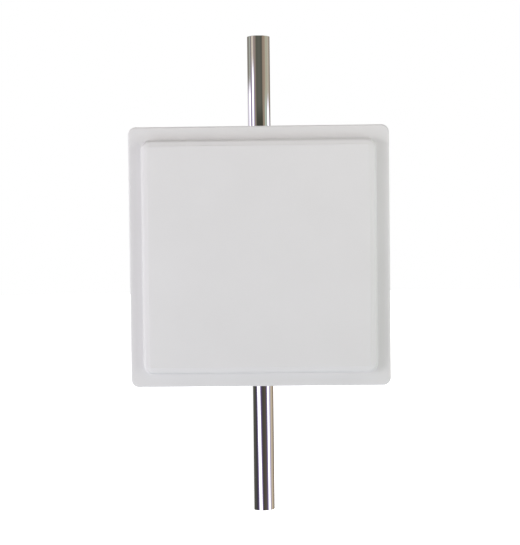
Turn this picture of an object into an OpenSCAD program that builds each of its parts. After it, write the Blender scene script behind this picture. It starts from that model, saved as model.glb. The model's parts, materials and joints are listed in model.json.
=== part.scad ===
// Antenna panel of a security gate on its round mast, in millimetres.
// +Z runs up the mast, the panel faces -Y, and the origin is the centre of the mast's foot.

/* [Mast] */
// Outside diameter of the mast tube
mast_d = 40; // [36:0.5:42]
// Wall thickness of the mast tube
mast_wall = 1.5; // [1:0.1:2]
// Length of the mast tube
mast_len = 840; // [760:10:1200]
// Height of the clamp, and of the middle of the panel
clamp_z = 453; // [380:1:640]

/* [Panel] */
// Width and height of the panel
panel_w = 445; // [430:1:470]
// Corner radius of the panel's rim
rim_corner_r = 13; // [8:1:16]
// Depth from the rear of the rim to the front of the flange
rim_depth = 14; // [13:0.5:18]
// Depth from the rear of the rim to the front face
face_depth = 36; // [34:0.5:42]
// Distance from the rim's edge to the foot of the raised wall
flange_w = 21; // [20:0.5:24]
// Draft of the raised wall
wall_draft = 10; // [4:1:14]
// Wall thickness of the radome
radome_t = 3; // [2.5:0.5:3.5]
// Thickness of the back plate
back_t = 2; // [1.5:0.5:2.5]

/* [Radiators] */
// Side of one square patch
patch_w = 150; // [140:1:156]
// Distance between the patches' centres
patch_pitch = 214; // [210:1:216]
// Cut at two opposite corners of each patch
patch_cut = 20; // [10:1:26]
// Height of the patches above the back plate
patch_lift = 15.5; // [12:0.5:18]

/* [Clamp and tilt bracket] */
// Distance between the upper and the lower clamp
clamp_spread = 80; // [76:1:84]
// Height of one clamp jaw
jaw_h = 30; // [26:1:32]
// Thickness of the folded steel brackets
sheet_t = 3; // [2.5:0.5:3]
// Distance from the tilt pivot to the arc slot's centre line
slot_r = 38; // [34:1:40]
// Largest tilt up or down
tilt_max = 15; // [5:1:15]
// Distance that the rear jaws back off the mast
jaw_travel = 12; // [4:1:12]

/* [Hidden] */
$fn = 64;

eps = 0.01;         // overlap that joins two solids of one piece
run_gap = 0.05;     // radial gap of a piece that slides or is pressed in
turn_gap = 0.1;     // radial gap of a piece that turns
side_gap = 0.3;     // gap between two plates that turn past each other

mast_r = mast_d / 2;
mast_bore_r = mast_r - mast_wall;
plug_len = 25;
bush_len = 30;
foot_thread_r = 7;  // wall of a tapped M16 hole

liner_in_r = mast_r + run_gap;
liner_out_r = liner_in_r + 1.4;
liner_half = clamp_spread / 2 + jaw_h / 2 + 7;
liner_collar_r = liner_out_r + 2.05;
liner_collar_h = 3;
liner_slit = 3;

jaw_bore_r = liner_out_r + turn_gap;
jaw_split = 1.5;                    // each jaw stops this far short of the mast's middle
jaw_arch_t = 5.45;
ear_depth = 15;                     // rear face of the rear jaw's ears
jaw_bolt_x = jaw_bore_r + 10;
jaw_half_w = jaw_bolt_x + 10.5;
front_jaw_y = -(jaw_bore_r + 12.45);
jaw_z = [clamp_spread / 2, -clamp_spread / 2];

web_y = front_jaw_y - sheet_t;      // front of the mast bracket's web
cheek_out_x = jaw_bolt_x + 11.5;    // outside of the mast bracket's cheeks
cheek_in_x = cheek_out_x - sheet_t;
hinge_in_x = cheek_out_x + side_gap;
hinge_out_x = hinge_in_x + sheet_t;
pivot_y = web_y - 23;
panel_y = pivot_y - 28;             // rear of the panel's rim
web_half_h = 58;
bend_r = 4;                         // outside radius of a fold

m8_r = 4;
m6_r = 3;
m8_hole_r = 4.25;
pivot_hole_r = m8_r + turn_gap;
clamp_bolt_len = 80;
cross_bolt_len = 22;

rim_t = radome_t;
back_u = 0.5;                       // rear face of the back plate, forward of the rim
back_front_u = back_u + back_t;
back_gap = 0.3;                     // gap between the back plate and the rim
raised_c = flange_w + 18;           // inset of the raised wall's corner centres
screw_inset = 11;
screw_count = 4;                    // cover screws along one side, less one corner
rib_inset = 17;
rib_t = 2.5;
gasket_t = 2;
boss_r = 4.5;
boss_hole_r = 2;

patch_t = 1.5;
patch_u = back_front_u + patch_lift;
board_u = back_front_u + 4;
board_t = 1.6;
line_t = 0.2;
line_u = board_u + board_t;
feed_x = 64;
arm_v = patch_pitch / 2;
connector_at = [90, -150];
vent_at = [-60, -185];
earth_at = [-96, -150];
stud_at = [60, 45];
foot_half_h = 60;
thread_r = 7.94;                    // 5/8 inch coaxial thread

m8_flats = 13;
m6_flats = 10;
m8_head_h = 5.3;
m8_nut_h = 6.5;
m6_nut_h = 5;
m8_washer = [8, 1.6];               // radius, thickness
m6_washer = [6, 1.6];
m8_spring = [7.1, 2];
m6_spring = [5.5, 1.6];

// ---------------------------------------------------------------- shared shapes

function arc(centre, r, from, to, steps) =
    [for (i = [0:steps]) let (a = from + (to - from) * i / steps)
        [centre[0] + r * cos(a), centre[1] + r * sin(a)]];

// The panel's own frame: x right, y up, z forward from the rear of the rim.
module in_panel() {
    translate([0, panel_y, clamp_z]) rotate([90, 0, 0]) children();
}

// The tilt bracket's own frame, with its origin on the pivot line.
module at_pivot() {
    translate([0, pivot_y, clamp_z]) children();
}

// A plate parallel to the YZ plane, from x to x + t, whose outline is drawn as (y, z).
module side_plate(x, t) {
    translate([x, 0, 0]) rotate([90, 0, 90]) linear_extrude(t) children();
}

module rounded_rect(size, r) {
    square([size[0] - 2 * r, size[1]], center = true);
    square([size[0], size[1] - 2 * r], center = true);
    for (sx = [-1, 1], sy = [-1, 1])
        translate([sx * (size[0] / 2 - r), sy * (size[1] / 2 - r)]) circle(r);
}

// Sweeps a profile of (distance from the corner centre, height) round a square with
// its corner centres at +-c.
module around(c) {
    for (q = [0:3]) rotate(90 * q) translate([c, c, 0]) {
        rotate_extrude(angle = 90) children();
        rotate([90, 0, 0]) linear_extrude(2 * c) children();
    }
}

module ring(r_out, r_in, h) {
    difference() {
        cylinder(r = r_out, h = h);
        translate([0, 0, -1]) cylinder(r = r_in, h = h + 2);
    }
}

// A hexagonal prism whose top corners are turned down to a cone.
module hex_prism(flats, h) {
    corner_r = flats / sqrt(3);
    intersection() {
        cylinder(r = corner_r, h = h, $fn = 6);
        union() {
            cylinder(r = corner_r + eps, h = h - 0.8);
            translate([0, 0, h - 0.8]) cylinder(r1 = corner_r + eps, r2 = flats / 2 - 0.3, h = 0.8);
        }
    }
}

// The shank runs up from z = 0 and the head hangs below it.
module hex_bolt(r, flats, head_h, length) {
    mirror([0, 0, 1]) hex_prism(flats, head_h);
    translate([0, 0, -eps]) cylinder(r = r, h = length + eps - 1);
    translate([0, 0, length - 1]) cylinder(r1 = r, r2 = r - 0.8, h = 1);
}

module hex_nut(r, flats, h) {
    difference() {
        hex_prism(flats, h);
        translate([0, 0, -1]) cylinder(r = r + run_gap, h = h + 2);
    }
}

module flat_washer(r, size) {
    ring(size[0], r + 0.3, size[1]);
}

module spring_washer(r, size) {
    difference() {
        ring(size[0], r + 0.15, size[1]);
        rotate([0, 0, 30]) translate([0, -0.5, -1]) cube([size[0] + 1, 1, size[1] + 2]);
    }
}

// A low round head with a plain shank below it.
module pan_screw(r, head_r, head_h, length) {
    cylinder(r1 = head_r, r2 = head_r - 0.8, h = head_h);
    translate([0, 0, -length]) cylinder(r = r, h = length + eps);
}

// ---------------------------------------------------------------- mast

module mast_tube() {
    color("silver") ring(mast_r, mast_bore_r, mast_len);
}

module top_plug() {
    plug_r = mast_bore_r - run_gap;
    color("#202020") translate([0, 0, mast_len - plug_len]) difference() {
        union() {
            cylinder(r = plug_r - 0.6, h = plug_len - 0.5);
            translate([0, 0, plug_len - 4]) cylinder(r = plug_r, h = 3.5);
            for (i = [0:2]) translate([0, 0, 3 + 6 * i]) cylinder(r = plug_r, h = 1.5);
        }
        translate([0, 0, -1]) cylinder(r = plug_r - 3, h = plug_len - 2);
    }
}

module foot_bush() {
    color("gray") ring(mast_bore_r - run_gap, foot_thread_r, bush_len);
}

// ---------------------------------------------------------------- clamp

module clamp_liner() {
    color("#3a3d40") translate([0, 0, clamp_z - liner_half]) difference() {
        union() {
            cylinder(r = liner_out_r, h = 2 * liner_half);
            cylinder(r = liner_collar_r, h = liner_collar_h);
            translate([0, 0, 2 * liner_half - liner_collar_h])
                cylinder(r = liner_collar_r, h = liner_collar_h);
        }
        translate([0, 0, -1]) cylinder(r = liner_in_r, h = 2 * liner_half + 2);
        translate([0, -liner_slit / 2, -1])
            cube([liner_collar_r + 1, liner_slit, 2 * liner_half + 2]);
    }
}

module jaw_bolt_holes() {
    for (sx = [-1, 1])
        translate([sx * jaw_bolt_x, -100, 0]) rotate([-90, 0, 0]) cylinder(r = m8_hole_r, h = 200);
}

module front_jaw(z) {
    depth = -jaw_split - front_jaw_y;
    color("#b4b6b8") translate([0, 0, clamp_z + z]) difference() {
        translate([0, front_jaw_y + depth / 2, -jaw_h / 2])
            linear_extrude(jaw_h) rounded_rect([2 * jaw_half_w, depth], 3);
        translate([0, 0, -jaw_h]) cylinder(r = jaw_bore_r, h = 2 * jaw_h);
        jaw_bolt_holes();
    }
}

module rear_jaw(z) {
    color("#b4b6b8") translate([0, 0, clamp_z + z]) difference() {
        translate([0, 0, -jaw_h / 2]) linear_extrude(jaw_h) {
            translate([0, (jaw_split + ear_depth) / 2])
                rounded_rect([2 * jaw_half_w, ear_depth - jaw_split], 3);
            intersection() {
                circle(jaw_bore_r + jaw_arch_t);
                translate([-50, jaw_split]) square([100, 50]);
            }
        }
        translate([0, 0, -jaw_h]) cylinder(r = jaw_bore_r, h = 2 * jaw_h);
        jaw_bolt_holes();
    }
}

// Places children on each clamp bolt's line, with +Z pointing to the rear.
module on_clamp_bolts(y, levels = jaw_z) {
    for (z = levels, sx = [-1, 1])
        translate([sx * jaw_bolt_x, y, clamp_z + z]) rotate([-90, 0, 0]) children();
}

module clamp_bolts() {
    color("#c8c9cb") on_clamp_bolts(web_y - m8_washer[1])
        hex_bolt(m8_r, m8_flats, m8_head_h, clamp_bolt_len);
}

module clamp_bolt_washers() {
    color("#c8c9cb") on_clamp_bolts(web_y - m8_washer[1]) flat_washer(m8_r, m8_washer);
}

module jaw_washers(z) {
    color("#c8c9cb") {
        on_clamp_bolts(ear_depth, [z]) flat_washer(m8_r, m8_washer);
        on_clamp_bolts(ear_depth + m8_washer[1], [z]) spring_washer(m8_r, m8_spring);
    }
}

module jaw_nuts(z) {
    color("#c8c9cb") on_clamp_bolts(ear_depth + m8_washer[1] + m8_spring[1], [z])
        hex_nut(m8_r, m8_flats, m8_nut_h);
}

// ---------------------------------------------------------------- tilt bracket

// A quarter of a tube of height h about the Z axis, from +X round to +Y.
module fold(h) {
    rotate_extrude(angle = 90) translate([bend_r - sheet_t, 0]) square([sheet_t, h]);
}

// One half of the channel that carries the front jaws.
module channel_half() {
    rear_y = front_jaw_y - pivot_y;
    front_y = -12;
    difference() {
        side_plate(cheek_in_x, sheet_t) {
            translate([(front_y + rear_y) / 2, 17]) rounded_rect([rear_y - front_y, 62], 7);
            polygon([[rear_y - 12, web_half_h], [rear_y, web_half_h], [rear_y, -web_half_h],
                [rear_y - 6, -web_half_h], [front_y + 7, -13]]);
        }
        translate([cheek_in_x - 1, rear_y - bend_r, -web_half_h - 1])
            cube([sheet_t + 2, bend_r + 1, 2 * web_half_h + 2]);
        for (z = [0, slot_r]) translate([cheek_in_x - 1, 0, z])
            rotate([0, 90, 0]) cylinder(r = m8_r + run_gap, h = sheet_t + 2);
    }
    translate([cheek_out_x - bend_r, rear_y - bend_r, -web_half_h]) fold(2 * web_half_h);
}

module mast_bracket() {
    color("#a9abad") {
        at_pivot() for (side = [0, 1]) mirror([side, 0, 0]) channel_half();
        translate([0, web_y, clamp_z]) difference() {
            translate([bend_r - cheek_out_x, 0, -web_half_h])
                cube([2 * (cheek_out_x - bend_r), sheet_t, 2 * web_half_h]);
            for (z = jaw_z, sx = [-1, 1]) translate([sx * jaw_bolt_x, -1, z])
                rotate([-90, 0, 0]) cylinder(r = m8_hole_r, h = sheet_t + 2);
        }
    }
}

// The hinge bracket's cheek with its arc slot, as a plate from x to x + t.
module hinge_cheek(x, t) {
    back_y = 18;
    foot_y = panel_y - back_u - pivot_y;
    difference() {
        side_plate(x, t) {
            translate([(foot_y + back_y) / 2, 17]) rounded_rect([back_y - foot_y, 76], 9);
            polygon([[foot_y, -foot_half_h], [foot_y + 8, -foot_half_h], [back_y - 9, -21],
                [0, 40], [foot_y + 9, 55], [foot_y, foot_half_h]]);
        }
        translate([x - 1, 0, 0]) rotate([0, 90, 0]) {
            cylinder(r = pivot_hole_r, h = t + 2);
            rotate(180 - tilt_max) rotate_extrude(angle = 2 * tilt_max)
                translate([slot_r - m8_hole_r, 0]) square([2 * m8_hole_r, t + 2]);
            for (a = [-tilt_max, tilt_max]) rotate(180 + a)
                translate([slot_r, 0, 0]) cylinder(r = m8_hole_r, h = t + 2);
        }
    }
}

module hinge_foot() {
    foot_x = stud_at[0] + 15;
    translate([0, panel_y - back_u + sheet_t, clamp_z]) rotate([90, 0, 0]) difference() {
        union() {
            translate([(hinge_in_x + 6 + foot_x) / 2, 0]) linear_extrude(sheet_t)
                rounded_rect([foot_x - hinge_in_x - 6, 2 * foot_half_h], 5);
            translate([hinge_in_x + bend_r, -foot_half_h, 0])
                cube([8, 2 * foot_half_h, sheet_t]);
        }
        for (sv = [-1, 1]) translate([stud_at[0], sv * stud_at[1], -1])
            cylinder(r = m6_r + 0.3, h = sheet_t + 2);
    }
}

module right_hinge() {
    at_pivot() difference() {
        hinge_cheek(hinge_in_x, sheet_t);
        translate([hinge_in_x - 1, panel_y - back_u - pivot_y - 1, -foot_half_h - 1])
            cube([sheet_t + 2, bend_r + 1, 2 * foot_half_h + 2]);
    }
    translate([hinge_in_x + bend_r, panel_y - back_u + bend_r, clamp_z - foot_half_h])
        rotate(180) fold(2 * foot_half_h);
    hinge_foot();
}

module right_hinge_bracket() {
    color("#a9abad") right_hinge();
}

module left_hinge_bracket() {
    color("#a9abad") mirror([1, 0, 0]) right_hinge();
}

// Places children outside the hinge bracket's cheek at height z over the pivot, +Z pointing
// inward, at a distance in from the cheek's outer face.
module on_cross_bolts(z, inward) {
    at_pivot() for (side = [0, 1]) mirror([side, 0, 0])
        translate([hinge_out_x + 0.2 - inward, 0, z]) rotate([0, -90, 0]) children();
}

module cross_bolts(z) {
    color("#c8c9cb") on_cross_bolts(z, -m8_washer[1])
        hex_bolt(m8_r, m8_flats, m8_head_h, cross_bolt_len);
}

module cross_washers(z) {
    inner = hinge_out_x + 0.2 - cheek_in_x;
    color("#c8c9cb") {
        on_cross_bolts(z, -m8_washer[1]) flat_washer(m8_r, m8_washer);
        on_cross_bolts(z, inner) flat_washer(m8_r, m8_washer);
        on_cross_bolts(z, inner + m8_washer[1]) spring_washer(m8_r, m8_spring);
    }
}

module cross_nuts(z) {
    inner = hinge_out_x + 0.2 - cheek_in_x;
    color("#c8c9cb") on_cross_bolts(z, inner + m8_washer[1] + m8_spring[1])
        hex_nut(m8_r, m8_flats, m8_nut_h);
}

// ---------------------------------------------------------------- panel housing

// Section of the raised front, as (distance from the corner centre, height).
function raised_profile() =
    let (
        foot_fillet = 2,
        shoulder = 5,
        ledge_u = face_depth - 2.2,
        ledge_w = 4.2,
        ledge_slope = 12,
        step_w = 1.2,
        foot = arc([raised_c - flange_w, rim_depth + foot_fillet], foot_fillet, 270, 180 + wall_draft, 6),
        wall = foot[len(foot) - 1],
        shoulder_u = ledge_u - shoulder,
        wall_top_u = shoulder_u + shoulder * sin(wall_draft),
        shoulder_d = wall[0] - tan(wall_draft) * (wall_top_u - wall[1]) - shoulder * cos(wall_draft),
        round_over = arc([shoulder_d, shoulder_u], shoulder, wall_draft, 90 - ledge_slope, 6),
        ledge_end = round_over[len(round_over) - 1][0] - ledge_w
    )
    concat(
        [[0, rim_depth - 1], [raised_c - flange_w, rim_depth - 1]],
        foot,
        round_over,
        [[ledge_end, face_depth - 1], [ledge_end - step_w, face_depth], [0, face_depth]]
    );

// Section of the rim and flange, as (distance from the corner centre, height).
function rim_profile() =
    let (edge = 3)
    concat(
        [[0, 0], [rim_corner_r, 0]],
        arc([rim_corner_r - edge, rim_depth - edge], edge, 0, 90, 6),
        [[0, rim_depth]]
    );

// Section of the hollow behind the raised front.
function hollow_profile() =
    let (foot_d = raised_c - flange_w - radome_t - 3.2)
    [[0, rim_depth - radome_t - 1], [foot_d, rim_depth - radome_t - 1],
        [foot_d - 3, face_depth - 2 * radome_t], [foot_d - 6, face_depth - radome_t - 1.4],
        [0, face_depth - radome_t - 1.4]];

module block(c, low, high) {
    translate([-c, -c, low]) cube([2 * c, 2 * c, high - low]);
}

// Places children at each cover screw, round the rim.
module on_cover_screws() {
    half = panel_w / 2 - screw_inset;
    step = 2 * half / screw_count;
    for (q = [0:3], i = [0:screw_count - 1])
        rotate(90 * q) translate([-half + step * i, -half, 0]) children();
}

module radome() {
    rim_c = panel_w / 2 - rim_corner_r;
    wall_c = panel_w / 2 - raised_c;
    rib_c = panel_w / 2 - rib_inset - 6;
    color("#f2f3f3") in_panel() difference() {
        union() {
            difference() {
                union() {
                    around(rim_c) polygon(rim_profile());
                    block(rim_c, 0, rim_depth);
                    around(wall_c) polygon(raised_profile());
                    block(wall_c, rim_depth - 1, face_depth);
                }
                translate([0, 0, -1]) linear_extrude(rim_depth - radome_t + 1)
                    rounded_rect([panel_w - 2 * rim_t, panel_w - 2 * rim_t], rim_corner_r - rim_t);
                around(wall_c) polygon(hollow_profile());
                block(wall_c, rim_depth - radome_t - 1, face_depth - radome_t);
            }
            on_cover_screws() translate([0, 0, back_front_u])
                cylinder(r = boss_r, h = rim_depth - radome_t - back_front_u + eps);
            around(rib_c) translate([6 - rib_t, back_front_u + gasket_t])
                square([rib_t, rim_depth - radome_t - back_front_u - gasket_t + eps]);
        }
        on_cover_screws() translate([0, 0, -1]) cylinder(r = boss_hole_r, h = 10.5);
    }
}

module gasket() {
    gasket_c = panel_w / 2 - rib_inset - 6;
    color("#2b2b2b") in_panel() around(gasket_c)
        translate([6 - rib_t - 0.8, back_front_u]) square([rib_t + 1.6, gasket_t]);
}

module back_plate() {
    side = panel_w - 2 * (rim_t + back_gap);
    color("#c3c5c7") in_panel() difference() {
        translate([0, 0, back_u]) linear_extrude(back_t)
            rounded_rect([side, side], rim_corner_r - rim_t - back_gap);
        on_cover_screws() cylinder(r = 2.3, h = 10);
        on_studs() cylinder(r = m6_r + run_gap, h = 10);
        translate([connector_at[0], connector_at[1], 0]) cylinder(r = 6, h = 10);
        on_connector_screws() cylinder(r = 1.6, h = 10);
        translate([vent_at[0], vent_at[1], 0]) cylinder(r = 6, h = 10);
        translate([earth_at[0], earth_at[1], 0]) cylinder(r = 2.6, h = 10);
    }
}

module cover_screws() {
    color("#c8c9cb") in_panel() on_cover_screws() translate([0, 0, back_u])
        mirror([0, 0, 1]) pan_screw(boss_hole_r - run_gap, 3.9, 2.2, 8.5);
}

// ---------------------------------------------------------------- radiators and feed

// One patch, with the two corners on its falling diagonal cut off.
module patch(sx, sy) {
    h = patch_w / 2;
    color("#d8c98f") in_panel() translate([sx * patch_pitch / 2, sy * patch_pitch / 2, patch_u])
        difference() {
            linear_extrude(patch_t) polygon([[-h + patch_cut, h], [h, h], [h, -h + patch_cut],
                [h - patch_cut, -h], [-h, -h], [-h, h - patch_cut]]);
            translate([0, 0, -1]) cylinder(r = 1.6, h = patch_t + 2);
        }
}

module on_patches() {
    for (sx = [-1, 1], sy = [-1, 1])
        translate([sx * patch_pitch / 2, sy * patch_pitch / 2, 0]) children();
}

module patch_posts() {
    color("#c8c9cb") in_panel() on_patches() translate([0, 0, back_front_u]) difference() {
        cylinder(r = 4, h = patch_lift, $fn = 6);
        translate([0, 0, patch_lift - 8]) cylinder(r = 1.55, h = 9);
    }
}

module patch_screws() {
    color("#c8c9cb") in_panel() on_patches() translate([0, 0, patch_u + patch_t])
        pan_screw(1.5, 2.8, 1.8, patch_t + 6);
}

// Plan of the feed network: a trunk, an arm to each pair of patches and a branch to the connector.
module feed_plan(half_w, end) {
    translate([-half_w, connector_at[1] - half_w]) square([2 * half_w, arm_v - connector_at[1] + 2 * half_w]);
    for (sy = [-1, 1]) translate([-feed_x - end, sy * arm_v - half_w])
        square([2 * (feed_x + end), 2 * half_w]);
    translate([0, connector_at[1] - half_w]) square([connector_at[0] + end, 2 * half_w]);
}

module on_board_spacers() {
    for (p = [[8, 40], [-8, -60], [40, arm_v + 8], [-40, arm_v + 8], [40, -arm_v - 8],
            [-40, -arm_v - 8], [50, connector_at[1] - 8]])
        translate([p[0], p[1], 0]) children();
}

module feed_board() {
    color("#5d7a4a") in_panel() difference() {
        translate([0, 0, board_u]) linear_extrude(board_t) feed_plan(12, 10);
        on_board_spacers() cylinder(r = 1.6, h = 20);
        translate([connector_at[0], connector_at[1], 0]) cylinder(r = 1.6, h = 20);
    }
}

module feed_lines() {
    color("#c98a4b") in_panel() difference() {
        translate([0, 0, line_u]) linear_extrude(line_t) feed_plan(2.4, 2.4);
        translate([connector_at[0], connector_at[1], 0]) cylinder(r = 1.6, h = 20);
    }
}

module feed_pins() {
    color("#d8b25a") in_panel() for (sx = [-1, 1], sy = [-1, 1])
        translate([sx * feed_x, sy * arm_v, line_u + line_t])
            cylinder(r = 1.2, h = patch_u - line_u - line_t);
}

module board_spacers() {
    color("#e8e4d8") in_panel() on_board_spacers() {
        translate([0, 0, back_front_u]) cylinder(r = 3, h = board_u - back_front_u);
        translate([0, 0, board_u - eps]) cylinder(r = 1.5, h = board_t + 2 * eps);
        translate([0, 0, line_u]) cylinder(r1 = 2.4, r2 = 1.4, h = 1.6);
    }
}

// ---------------------------------------------------------------- connector, vent and earth point

module at_connector() {
    translate([connector_at[0], connector_at[1], back_u]) children();
}

module on_connector_screws() {
    at_connector() for (sx = [-1, 1], sy = [-1, 1])
        translate([sx * 9.1, sy * 9.1, -back_u]) children();
}

module connector_body() {
    color("#b9bbbd") in_panel() difference() {
        at_connector() {
            translate([0, 0, -2.5]) linear_extrude(2.5) rounded_rect([25, 25], 2);
            translate([0, 0, -20]) cylinder(r = thread_r, h = 17.5 + eps);
            translate([0, 0, -eps]) cylinder(r = 5.9, h = back_t + eps);
        }
        at_connector() translate([0, 0, -25]) cylinder(r = 4.2, h = 40);
        on_connector_screws() translate([0, 0, -5]) cylinder(r = 1.6, h = 10);
    }
}

module connector_insulator() {
    color("white") in_panel() at_connector() translate([0, 0, -9])
        ring(4.2 - run_gap, 1.55, 9 + back_t);
}

module connector_contact() {
    color("#d8b25a") in_panel() at_connector() translate([0, 0, -15]) difference() {
        cylinder(r = 1.5, h = 15 - back_u + line_u + line_t + 0.6);
        translate([0, 0, -1]) cylinder(r = 0.85, h = 6);
    }
}

module connector_screws() {
    color("#c8c9cb") in_panel() on_connector_screws() translate([0, 0, back_u - 2.5])
        mirror([0, 0, 1]) pan_screw(1.5, 2.8, 1.8, 2.5 + back_t + 1);
}

module vent_plug() {
    color("#35383b") in_panel() translate([vent_at[0], vent_at[1], back_u]) difference() {
        union() {
            translate([0, 0, -1.2]) mirror([0, 0, 1]) hex_prism(16, 4);
            translate([0, 0, -1.2 - eps]) cylinder(r = 5.9, h = 1.2 + back_t + 3);
        }
        translate([0, 0, -2]) cylinder(r = 3.5, h = 10);
        for (a = [0:60:300]) rotate(a + 30) translate([0, 0, -3.4]) rotate([0, 90, 0])
            cylinder(r = 0.7, h = 12);
    }
}

module vent_seal() {
    color("#1c1c1c") in_panel() translate([vent_at[0], vent_at[1], back_u - 1.2])
        ring(7.4, 5.95, 1.2);
}

module earth_screw() {
    color("#d8b25a") in_panel() translate([earth_at[0], earth_at[1], back_u - 1.6])
        mirror([0, 0, 1]) {
            hex_prism(8, 3.5);
            translate([0, 0, -6 + eps]) cylinder(r = 2.5, h = 6);
        }
}

module earth_washers() {
    color("#d8b25a") in_panel() translate([earth_at[0], earth_at[1], back_u - 1.6]) {
        ring(5, 2.6, 0.75);
        translate([0, 0, 0.8]) ring(6, 2.6, 0.75);
    }
}

// ---------------------------------------------------------------- panel studs

module on_studs() {
    for (sx = [-1, 1], sy = [-1, 1]) translate([sx * stud_at[0], sy * stud_at[1], 0]) children();
}

module mount_studs() {
    color("#c8c9cb") in_panel() on_studs() {
        translate([0, 0, back_front_u]) cylinder(r = 4.6, h = 1.4);
        translate([0, 0, -14]) cylinder(r = m6_r, h = 14 + back_front_u + eps);
        translate([0, 0, -15]) cylinder(r1 = m6_r - 0.7, r2 = m6_r, h = 1);
    }
}

// Places children on each stud, u behind the back plate's rear face, with +Z to the rear.
module behind_plate(u) {
    in_panel() on_studs() translate([0, 0, back_u - u]) mirror([0, 0, 1]) children();
}

module stud_washers() {
    color("#c8c9cb") behind_plate(sheet_t) flat_washer(m6_r, m6_washer);
}

module stud_spring_washers() {
    color("#c8c9cb") behind_plate(sheet_t + m6_washer[1]) spring_washer(m6_r, m6_spring);
}

module stud_nuts() {
    color("#c8c9cb") behind_plate(sheet_t + m6_washer[1] + m6_spring[1])
        hex_nut(m6_r, m6_flats, m6_nut_h);
}

// ---------------------------------------------------------------- the assembly

mast_tube();
top_plug();
foot_bush();
clamp_liner();
front_jaw(jaw_z[0]);  // front_jaw_upper
front_jaw(jaw_z[1]);  // front_jaw_lower
mast_bracket();
clamp_bolts();
clamp_bolt_washers();
cross_bolts(0);  // pivot_bolts
cross_washers(0);  // pivot_washers
cross_nuts(0);  // pivot_nuts
cross_bolts(slot_r);  // lock_bolts
cross_washers(slot_r);  // lock_washers
cross_nuts(slot_r);  // lock_nuts
rear_jaw(jaw_z[0]);  // rear_jaw_upper
jaw_washers(jaw_z[0]);  // upper_jaw_washers
jaw_nuts(jaw_z[0]);  // upper_jaw_nuts
rear_jaw(jaw_z[1]);  // rear_jaw_lower
jaw_washers(jaw_z[1]);  // lower_jaw_washers
jaw_nuts(jaw_z[1]);  // lower_jaw_nuts
radome();
gasket();
back_plate();
cover_screws();
patch(-1, 1);  // patch_upper_left
patch(1, 1);  // patch_upper_right
patch(-1, -1);  // patch_lower_left
patch(1, -1);  // patch_lower_right
patch_posts();
patch_screws();
feed_board();
feed_lines();
feed_pins();
board_spacers();
connector_body();
connector_insulator();
connector_contact();
connector_screws();
vent_plug();
vent_seal();
earth_screw();
earth_washers();
mount_studs();
left_hinge_bracket();
right_hinge_bracket();
stud_washers();
stud_spring_washers();
stud_nuts();
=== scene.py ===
"""Looks of the gate's antenna panel on its chrome mast: camera, studio, materials and detailed pieces."""

import json
import math

import bmesh
import bpy
from mathutils import Matrix, Vector


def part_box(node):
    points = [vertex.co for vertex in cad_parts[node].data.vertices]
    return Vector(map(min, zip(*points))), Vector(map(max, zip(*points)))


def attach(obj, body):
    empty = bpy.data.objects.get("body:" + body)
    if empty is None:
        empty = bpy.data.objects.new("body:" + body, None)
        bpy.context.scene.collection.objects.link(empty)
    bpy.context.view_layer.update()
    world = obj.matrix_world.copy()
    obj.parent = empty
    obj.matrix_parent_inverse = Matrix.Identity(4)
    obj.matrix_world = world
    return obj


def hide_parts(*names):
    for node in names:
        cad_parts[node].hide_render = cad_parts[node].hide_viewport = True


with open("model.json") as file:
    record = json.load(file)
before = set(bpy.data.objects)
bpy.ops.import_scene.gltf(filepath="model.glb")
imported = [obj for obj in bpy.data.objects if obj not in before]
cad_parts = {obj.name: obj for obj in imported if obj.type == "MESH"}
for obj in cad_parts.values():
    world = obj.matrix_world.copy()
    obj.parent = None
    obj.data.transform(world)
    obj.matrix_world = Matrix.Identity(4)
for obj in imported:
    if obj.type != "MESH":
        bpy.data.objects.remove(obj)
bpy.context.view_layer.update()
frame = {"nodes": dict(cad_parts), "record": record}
nodes = frame["nodes"]
scene = bpy.context.scene
MM = 0.001


def lin(*rgb):
    """A display colour given as 0 to 255, as the linear colour that a shader takes."""
    shares = [value / 255 for value in rgb]
    return tuple(v / 12.92 if v <= 0.0404 else ((v + 0.055) / 1.055) ** 2.4 for v in shares) + (1.0,)


# ---------------------------------------------------------------- node helpers


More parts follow.
